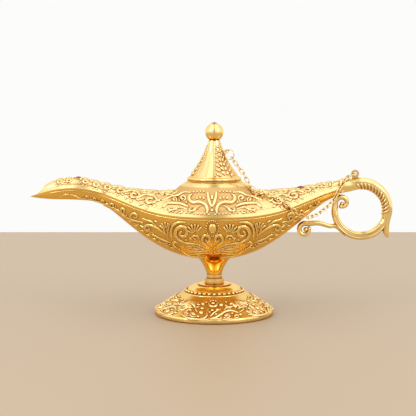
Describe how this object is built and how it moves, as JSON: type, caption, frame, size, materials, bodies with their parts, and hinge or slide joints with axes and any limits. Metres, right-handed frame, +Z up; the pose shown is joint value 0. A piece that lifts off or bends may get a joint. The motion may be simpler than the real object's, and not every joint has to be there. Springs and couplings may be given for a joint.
{
  "type": "oil lamp",
  "caption": "Boat-shaped metal oil lamp with a long open spout, scroll handle and round foot; a pointed lid lifts off its neck and stays tied to the handle by a fine chain.",
  "frame": {"origin": "middle of the foot's underside, on the axis of foot, neck and lid", "axes": "+Z up out of the lid's point; -X towards the spout, +X towards the handle; the chain is on the -Y side"},
  "size_m": [0.221, 0.0728, 0.1172],
  "materials": {
    "gold": "polished, embossed",
    "gold_wire": "polished wire",
    "steel": "plated",
    "red_glass": "polished"
  },
  "bodies": {
    "base": {"foot": "gold", "foot_screw": "steel", "foot_washer": "steel", "lower_bowl": "gold", "upper_deck": "gold", "handle": "gold", "spout_gem": "red_glass", "rear_gem": "red_glass", "handle_jump_ring": "gold_wire"},
    "lid": {"lid": "gold", "finial_ball": "gold", "finial_screw": "steel", "finial_gem": "red_glass", "lid_eye_pin": "gold_wire", "lid_jump_ring": "gold_wire"},
    "chain_01": {"chain_link_01": "gold_wire"},
    "chain_02": {"chain_link_02": "gold_wire", "chain_link_03": "gold_wire"},
    "chain_03": {"chain_link_04": "gold_wire", "chain_link_05": "gold_wire", "chain_link_06": "gold_wire"},
    "chain_04": {"chain_link_07": "gold_wire", "chain_link_08": "gold_wire", "chain_link_09": "gold_wire", "chain_link_10": "gold_wire"},
    "chain_05": {"chain_link_11": "gold_wire", "chain_link_12": "gold_wire", "chain_link_13": "gold_wire", "chain_link_14": "gold_wire"},
    "chain_06": {"chain_link_15": "gold_wire", "chain_link_16": "gold_wire", "chain_link_17": "gold_wire", "chain_link_18": "gold_wire"},
    "chain_07": {"chain_link_19": "gold_wire", "chain_link_20": "gold_wire", "chain_link_21": "gold_wire", "chain_link_22": "gold_wire"},
    "chain_08": {"chain_link_23": "gold_wire", "chain_link_24": "gold_wire", "chain_link_25": "gold_wire", "chain_link_26": "gold_wire"},
    "chain_09": {"chain_link_27": "gold_wire", "chain_link_28": "gold_wire", "chain_link_29": "gold_wire", "chain_link_30": "gold_wire"},
    "chain_10": {"chain_link_31": "gold_wire", "chain_link_32": "gold_wire", "chain_link_33": "gold_wire", "chain_link_34": "gold_wire"}
  },
  "joints": [
    {"name": "lid_lift", "type": "slide", "parent": "base", "child": "lid", "axis": [0, 0, 1], "range_m": [0, 0.045]},
    {"name": "chain_01_turn", "type": "hinge", "parent": "base", "child": "chain_01", "pos_m": [0.08152, -0.0017, 0.08427], "axis": [-0.0963, 0.2707, -0.9578], "range_deg": [-0.2, 34.65]},
    {"name": "chain_02_turn", "type": "hinge", "parent": "chain_01", "child": "chain_02", "pos_m": [0.07962, -0.00383, 0.08311], "axis": [-0.985, 0.1725, 0.0071], "range_deg": [-0.2, 40.92]},
    {"name": "chain_03_turn", "type": "hinge", "parent": "chain_02", "child": "chain_03", "pos_m": [0.07645, -0.00664, 0.07867], "axis": [-0.9084, 0.0563, 0.4142], "range_deg": [-0.2, 22.45]},
    {"name": "chain_04_turn", "type": "hinge", "parent": "chain_03", "child": "chain_04", "pos_m": [0.07193, -0.00948, 0.07108], "axis": [0.8922, -0.4418, -0.0935], "range_deg": [-0.2, 13.28]},
    {"name": "chain_05_turn", "type": "hinge", "parent": "chain_04", "child": "chain_05", "pos_m": [0.06338, -0.01479, 0.06395], "axis": [0.9937, -0.0169, -0.1106], "range_deg": [-0.2, 24.23]},
    {"name": "chain_06_turn", "type": "hinge", "parent": "chain_05", "child": "chain_06", "pos_m": [0.05291, -0.02043, 0.06165], "axis": [0.9811, -0.1826, -0.0635], "range_deg": [-0.2, 37.99]},
    {"name": "chain_07_turn", "type": "hinge", "parent": "chain_06", "child": "chain_07", "pos_m": [0.04376, -0.02257, 0.06885], "axis": [0.5473, 0.5135, 0.6609], "range_deg": [-0.2, 36.47]},
    {"name": "chain_08_turn", "type": "hinge", "parent": "chain_07", "child": "chain_08", "pos_m": [0.03425, -0.01661, 0.07398], "axis": [-0.4745, 0.7432, 0.4717], "range_deg": [-0.2, 34.53]},
    {"name": "chain_09_turn", "type": "hinge", "parent": "chain_08", "child": "chain_09", "pos_m": [0.02422, -0.01003, 0.0769], "axis": [-0.9948, -0.0991, 0.0221], "range_deg": [-0.2, 37.65]},
    {"name": "chain_10_turn", "type": "hinge", "parent": "chain_09", "child": "chain_10", "pos_m": [0.01749, -0.00839, 0.08674], "axis": [-0.5464, -0.7265, -0.4167], "range_deg": [-0.2, 15.05]}
  ],
  "couplings": [
    {"joint": "chain_01_turn", "follows": "lid_lift", "rad_per_m": 13.36},
    {"joint": "chain_02_turn", "follows": "lid_lift", "rad_per_m": 15.794},
    {"joint": "chain_03_turn", "follows": "lid_lift", "rad_per_m": 8.6287},
    {"joint": "chain_04_turn", "follows": "lid_lift", "rad_per_m": 5.0736},
    {"joint": "chain_05_turn", "follows": "lid_lift", "rad_per_m": 9.3188},
    {"joint": "chain_06_turn", "follows": "lid_lift", "rad_per_m": 14.658},
    {"joint": "chain_07_turn", "follows": "lid_lift", "rad_per_m": 14.067},
    {"joint": "chain_08_turn", "follows": "lid_lift", "rad_per_m": 13.316},
    {"joint": "chain_09_turn", "follows": "lid_lift", "rad_per_m": 14.525},
    {"joint": "chain_10_turn", "follows": "lid_lift", "rad_per_m": 5.7581}
  ]
}
